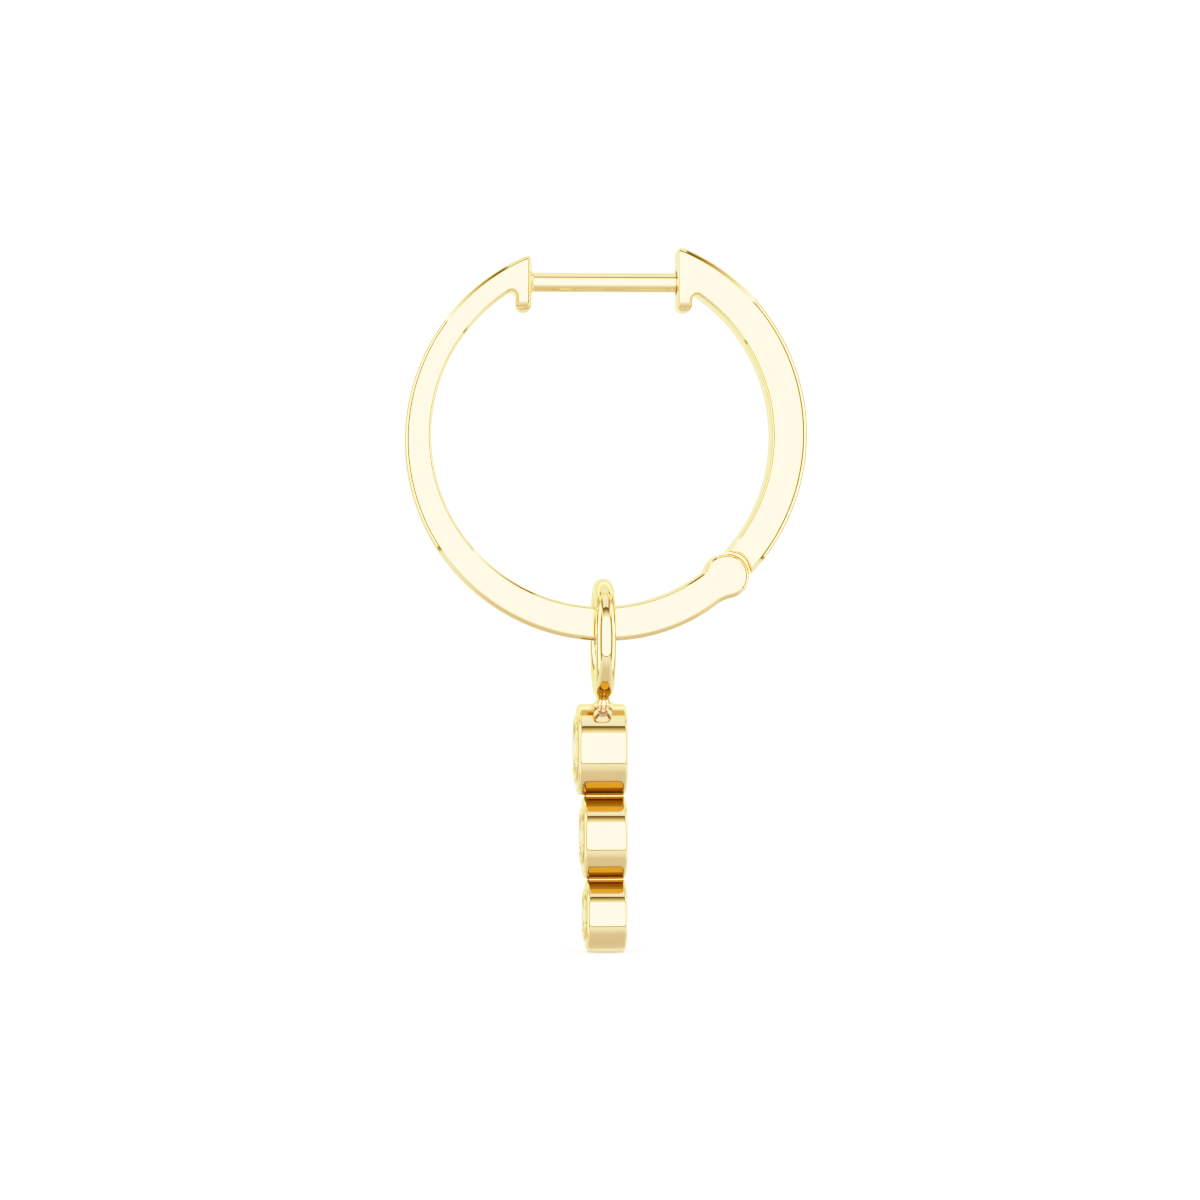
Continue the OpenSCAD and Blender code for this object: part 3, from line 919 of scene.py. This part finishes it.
def make_foot(bm, charm):
    """The solder between the ring and the top bezel: a short spool, hollow all round."""
    z, bezel_r, _, _ = charm.bezels[0]
    wire_z = charm.ring_z - charm.ring_r
    side, end = charm.foot_side, charm.foot_end
    # Along the hoop's axis the hollow touches the bezel's top and the wire
    side_z = z + bezel_r + side
    side_y = math.sqrt((charm.wire_r + side) ** 2 - (wire_z - side_z) ** 2)
    side_low, side_high = -math.pi / 2, math.atan2(wire_z - side_z, side_y)
    # From the front it touches the bezel's round and the ring's
    outer_r = charm.ring_r + charm.wire_r
    end_x, end_z = crossing(flat(0, z), bezel_r + end, flat(0, charm.ring_z), outer_r + end, -1)
    end_low, end_high = -math.atan2(end_z - z, end_x), math.atan2(charm.ring_z - end_z, end_x)
    rows = 14
    vert = bm.verts.new((1, 0, 0))
    for row in range(rows):
        vert = bmesh.ops.extrude_vert_indiv(bm, verts=[vert])["verts"][0]
        vert.co.z = (row + 1) / rows
    bmesh.ops.spin(
        bm, geom=[*bm.verts, *bm.edges], cent=(0, 0, 0), axis=(0, 0, 1),
        angle=math.tau, steps=64, use_merge=True,
    )
    bmesh.ops.holes_fill(bm, edges=bm.edges, sides=0)
    for vert in bm.verts:
        across, along, up = vert.co
        side_at = side_low + (side_high - side_low) * up
        end_at = end_low + (end_high - end_low) * up
        vert.co = (
            across * (end_x - end * math.cos(end_at)),
            along * (side_y - side * math.cos(side_at)) + charm.ring_y,
            across**2 * (end_z + end * math.sin(end_at))
            + along**2 * (side_z + side * math.sin(side_at)),
        )


def make_bezel(bm, charm, z, r, depth, stone_r):
    """A round bezel with rounded edges, a raised lip, a seat for its stone and a light hole."""
    face = depth - charm.lip_h
    lip = charm.lip_r
    lip_centre = depth - lip
    mouth = stone_r - lip
    hole = charm.light_hole * stone_r
    # The girdle's upper and lower edge, and the seat's slopes at a gap from crown and pavilion
    top = depth - TABLE_DEPTH - (1 - TABLE) * stone_r * math.tan(CROWN)
    under = top - GIRDLE
    gap = SEAT_GAP
    over_crown = top + gap / math.cos(CROWN)
    under_pavilion = under - gap / math.cos(PAVILION)
    front_r, back_r = charm.front_edge, charm.back_edge
    soft = HOLE_RIM
    foot = charm.lip_fillet

    def at(radius, up):
        return flat(charm.back_y - up, z + radius)

    foot_centre_r = stone_r + math.sqrt((lip + foot) ** 2 - (face + foot - lip_centre) ** 2)
    foot_centre = at(foot_centre_r, face + foot)
    lip_at = at(stone_r, lip_centre)
    start = at(hole, soft)
    edges = trace(bm, 0, start, [
        (at(hole + soft, 0), at(hole + soft, soft), -1, 0),
        (at(r - back_r, 0), None, 0, 0),
        (at(r, back_r), at(r - back_r, back_r), 1, 0),
        (at(r, face - front_r), None, 0, 0),
        (at(r - front_r, face), at(r - front_r, face - front_r), 1, 0),
        (at(foot_centre_r, face), None, 0, 0),
        (reach(lip_at, foot_centre, lip), foot_centre, -1, 0),
        (at(mouth, lip_centre), lip_at, 1, 0),
        (at(mouth, over_crown + lip * math.tan(CROWN)), None, 0, 0),
        (at(stone_r + gap, over_crown - gap * math.tan(CROWN)), None, 0, 0),
        (at(stone_r + gap, under_pavilion + gap * math.tan(PAVILION)), None, 0, 0),
        (at(hole, under_pavilion - (stone_r - hole) * math.tan(PAVILION)), None, 0, 0),
        (start, None, 0, 0),
    ], closed=False)
    bmesh.ops.remove_doubles(bm, verts=list({v for e in edges for v in e.verts}), dist=TOUCH)
    turned(bm, [e for e in bm.edges if not e.link_faces], (0, 0, z), steps=144)


def make_seam(bm, charm, upper, lower):
    """The solder in the narrow gap where two bezels touch, with hollow ends."""
    z_a, r_a, depth_a, _ = upper
    z_b, r_b, depth_b, _ = lower
    rho = charm.seam_r
    a, b = flat(0, z_a), flat(0, z_b)
    right = crossing(a, r_a + rho, b, r_b + rho, 1)
    left = flat(-right.x, right.y)
    depth = min(depth_a, depth_b) - charm.lip_h
    seam = bmesh.new()
    side = trace(seam, 0, reach(a, left, r_a), [
        (reach(b, left, r_b), left, -1, 0),
        (reach(b, right, r_b), None, 0, 0),
        (reach(a, right, r_a), right, -1, 0),
        (reach(a, left, r_a), None, 0, 0),
    ])
    push(seam, side, (depth - 2 * charm.seam_inset, 0, 0))
    # Drawn across X, then turned so that it runs along Y
    quarter = Matrix.Rotation(math.pi / 2, 3, "Z")
    bmesh.ops.rotate(seam, verts=seam.verts, cent=(0, 0, 0), matrix=quarter)
    bmesh.ops.translate(
        seam, verts=seam.verts, vec=(0, charm.back_y - depth + charm.seam_inset, 0)
    )
    take_in(bm, seam)


class EARRING_OT_charm(bpy.types.Operator):
    """Build the charm's ring, its three bezels and the solder that joins them"""

    bl_idname = "earring.charm"
    bl_label = "Charm"

    def execute(self, context):
        charm = Charm()
        bm = bmesh.new()
        make_foot(bm, charm)
        make_ring(bm, charm)
        for bezel in charm.bezels:
            make_bezel(bm, charm, *bezel)
        make_seam(bm, charm, charm.bezels[0], charm.bezels[1])
        make_seam(bm, charm, charm.bezels[1], charm.bezels[2])
        piece("charm_frame", bm, gold_material(), "charm", "charm_setting")
        return {"FINISHED"}


class EARRING_OT_stones(bpy.types.Operator):
    """Give the three cut stones their clear diamond"""

    bl_idname = "earring.stones"
    bl_label = "Stones"

    def execute(self, context):
        for name in ("stone_top", "stone_middle", "stone_bottom"):
            frame["nodes"][name].data.materials[0] = stone_material()
        return {"FINISHED"}


# ---- The stage


def place_camera(scene):
    """Stands the camera a little in front of the hoop's side, level with its lower half."""
    camera = bpy.data.cameras.new("camera")
    camera.lens = 127.5
    camera.sensor_width = 36
    camera.clip_start, camera.clip_end = 0.005, 20
    thing = new_object("camera", camera)
    thing.location = [at * MM for at in CAMERA_PLACE]
    forward = Vector((-math.cos(CAMERA_TURN), math.sin(CAMERA_TURN), -math.tan(CAMERA_TILT)))
    thing.rotation_mode = "QUATERNION"
    thing.rotation_quaternion = forward.to_track_quat("-Z", "Y")
    scene.camera = thing


def lay_floor():
    """Lays the paper floor just under the charm. It is left out of the metal's reflections."""
    bm = bmesh.new()
    bmesh.ops.create_circle(bm, cap_ends=True, segments=96, radius=0.35)
    bmesh.ops.translate(bm, verts=bm.verts, vec=(0, 0, cad_box[0].z - 0.01 * MM))
    floor = new_object("floor", new_mesh("floor", bm))
    floor.data.materials.append(paper_material())
    floor.visible_glossy = False


def add_panel(name, centre, size_x, size_y, radiance, tone=(1, 1, 1)):
    """A soft light panel that faces the earring. It shows in reflections, not to the camera."""
    light = bpy.data.lights.new(name, "AREA")
    light.shape = "RECTANGLE"
    light.size, light.size_y = size_x, size_y
    light.energy = radiance * size_x * size_y * math.pi
    light.color = tone
    thing = new_object(name, light)
    thing.location = centre
    thing.rotation_mode = "QUATERNION"
    # Square to the wall of the tent that it hangs on
    x, y, z = centre
    if abs(y) > abs(x):
        aim = Vector((0, -y, 0))
    elif x:
        aim = Vector((-x, 0, 0))
    else:
        aim = Vector((0, 0, -z))
    thing.rotation_quaternion = aim.to_track_quat("-Z", "Y")
    thing.visible_camera = False
    return thing


def hang_panels():
    """Hangs four tall panels round the earring, and the floor's own light above it."""
    # Climb of the panels' lower and upper edges, and of the left one's upper edge
    low, high, tall = (math.tan(math.radians(climb)) * TENT for climb in (-33, 41, 64))
    # Ends of the front and back panels, which reach a little further towards the camera's side,
    # and widths of the other two
    fore, aft = (TENT / math.tan(math.radians(turn)) for turn in (76, 108))
    right, left = (2 * TENT * math.tan(math.radians(half)) for half in (50, 52))
    white, lemon = (0.91, 0.895, 1.0), (0.96, 0.99, 0.63)
    for name, x, y, width, top, radiance, tone in (
        ("right", TENT, 0, right, high, 1.98, white),
        ("left", -TENT, 0, left, tall, 0.75, lemon),
        ("front", (fore + aft) / 2, -TENT, fore - aft, high, 1.98, white),
        ("back", (fore + aft) / 2, TENT, fore - aft, high, 1.98, white),
    ):
        middle_z = (low + top) / 2
        add_panel("panel_" + name, (x, y, middle_z), width, top - low, radiance, tone)
    # Left out of the metal's reflections
    sky = add_panel("floor_light", (0, 0, 0.8), 2.0, 2.0, 2.8)
    sky.visible_glossy = False


def sew_tent(scene):
    """Makes the world a box-shaped tent round the panels. The camera alone sees white paper."""
    world = scene.world or bpy.data.worlds.new("studio")
    scene.world = world
    world.use_nodes = True
    tree = world.node_tree
    tree.nodes.clear()
    # A place on the tent's walls is known by its height over the wall's distance
    way = add(tree, "ShaderNodeTexCoord")
    split = add(tree, "ShaderNodeSeparateXYZ", [(way.outputs["Generated"], "Vector")])
    sides = [
        add(tree, "ShaderNodeMath", [(split.outputs[axis], 0)], operation="ABSOLUTE")
        for axis in ("X", "Y")
    ]
    wall = add(
        tree, "ShaderNodeMath", [(side.outputs[0], i) for i, side in enumerate(sides)],
        operation="MAXIMUM",
    )
    climb = add(
        tree, "ShaderNodeMath", [(split.outputs["Z"], 0), (wall.outputs[0], 1)],
        operation="ARCTAN2",
    )
    up = add(
        tree, "ShaderNodeMapRange", [(climb.outputs[0], "Value")],
        inputs={"From Min": -math.pi / 2, "From Max": math.pi / 2},
    )
    ramp = add(tree, "ShaderNodeValToRGB", [(up.outputs["Result"], "Fac")])
    stops = ramp.color_ramp.elements
    # By degrees of climb: paper below, cloth between the panels, dark seams above and below
    # them, and paper above
    seam, cloth = (0.15, 0.1, 0.025), (0.45, 0.41, 0.15)
    for degrees, shade in (
        (-90, (0.72, 0.69, 0.58)), (-57, (0.78, 0.74, 0.63)), (-34.6, (1.25, 1.22, 1.22)),
        (-33.6, seam), (-32.6, cloth), (39.5, cloth), (40.5, seam),
        (41.5, (1.95, 1.9, 1.75)), (47.5, (1.1, 1.05, 0.85)), (57, (0.45, 0.35, 0.12)),
        (60, seam), (63.5, seam), (65, (1.15, 1.15, 1.15)), (90, (1.3, 1.3, 1.3)),
    ):
        place = degrees / 180 + 0.5
        element = stops[0] if place == 0 else stops[-1] if place == 1 else stops.new(place)
        element.color = (*shade, 1)
    # The walls away from the camera have nothing darker than tan cloth
    rear = add(
        tree, "ShaderNodeMath", [(split.outputs["X"], 0)], operation="LESS_THAN",
        inputs={1: 0.0},
    )
    walls = add(
        tree, "ShaderNodeMix", [(rear.outputs[0], 0), (ramp.outputs["Color"], 6)],
        data_type="RGBA", blend_type="LIGHTEN", inputs={7: (0.55, 0.47, 0.24, 1)},
    )
    glow = add(tree, "ShaderNodeBackground", [(walls.outputs[2], "Color")])
    path = add(tree, "ShaderNodeLightPath")
    paper = add(tree, "ShaderNodeBackground", inputs={"Color": (1, 1, 1, 1), "Strength": 3.0})
    mix = add(
        tree, "ShaderNodeMixShader",
        [(path.outputs["Is Camera Ray"], 0), (glow.outputs[0], 1), (paper.outputs[0], 2)],
    )
    add(tree, "ShaderNodeOutputWorld", [(mix.outputs[0], "Surface")])


def soften_highlights(view):
    """Lets bright highlights run softly into white, as film does."""
    view.view_transform = "Standard"
    view.look = "None"
    view.exposure = 0
    view.gamma = 1
    view.use_curve_mapping = True
    mapping = view.curve_mapping
    mapping.white_level = (2.2, 2.2, 2.2)
    curve = mapping.curves[3]
    for x, y in ((0.25, 0.55), (0.36, 0.755), (0.5, 0.875), (0.74, 0.955)):
        curve.points.new(x, y)
    mapping.update()


class EARRING_OT_stage(bpy.types.Operator):
    """Set up the camera, the floor and the light tent"""

    bl_idname = "earring.stage"
    bl_label = "Stage"

    def execute(self, context):
        place_camera(context.scene)
        lay_floor()
        hang_panels()
        sew_tent(context.scene)
        soften_highlights(context.scene.view_settings)
        return {"FINISHED"}


# ---- The panel in the sidebar


PIECES = (
    EARRING_OT_stage, EARRING_OT_front_arm, EARRING_OT_back_arm, EARRING_OT_pin,
    EARRING_OT_charm, EARRING_OT_stones,
)


class EARRING_PT_panel(bpy.types.Panel):
    """Lists the earring's pieces and its sizes"""

    bl_idname = "EARRING_PT_panel"
    bl_label = "Hoop Charm Earring"
    bl_space_type = "VIEW_3D"
    bl_region_type = "UI"
    bl_category = "Earring"

    def draw(self, context):
        for operator in PIECES:
            self.layout.operator(operator.bl_idname)
        for name in ("earring_hoop", "earring_charm", "earring_finish"):
            group = getattr(context.scene, name)
            column = self.layout.column(align=True)
            for prop in group.__annotations__:
                column.prop(group, prop)


GROUPS = {"earring_hoop": HoopSizes, "earring_charm": CharmSizes, "earring_finish": Finish}


def register():
    for group in GROUPS.values():
        bpy.utils.register_class(group)
    for name, group in GROUPS.items():
        setattr(bpy.types.Scene, name, bpy.props.PointerProperty(type=group))
    for operator in PIECES:
        bpy.utils.register_class(operator)
    bpy.utils.register_class(EARRING_PT_panel)


def unregister():
    bpy.utils.unregister_class(EARRING_PT_panel)
    for operator in reversed(PIECES):
        bpy.utils.unregister_class(operator)
    for name, group in GROUPS.items():
        delattr(bpy.types.Scene, name)
        bpy.utils.unregister_class(group)


def main():
    register()
    bpy.ops.earring.stage()
    bpy.ops.earring.front_arm()
    bpy.ops.earring.back_arm()
    bpy.ops.earring.pin()
    bpy.ops.earring.charm()
    bpy.ops.earring.stones()


if __name__ == "__main__":
    main()
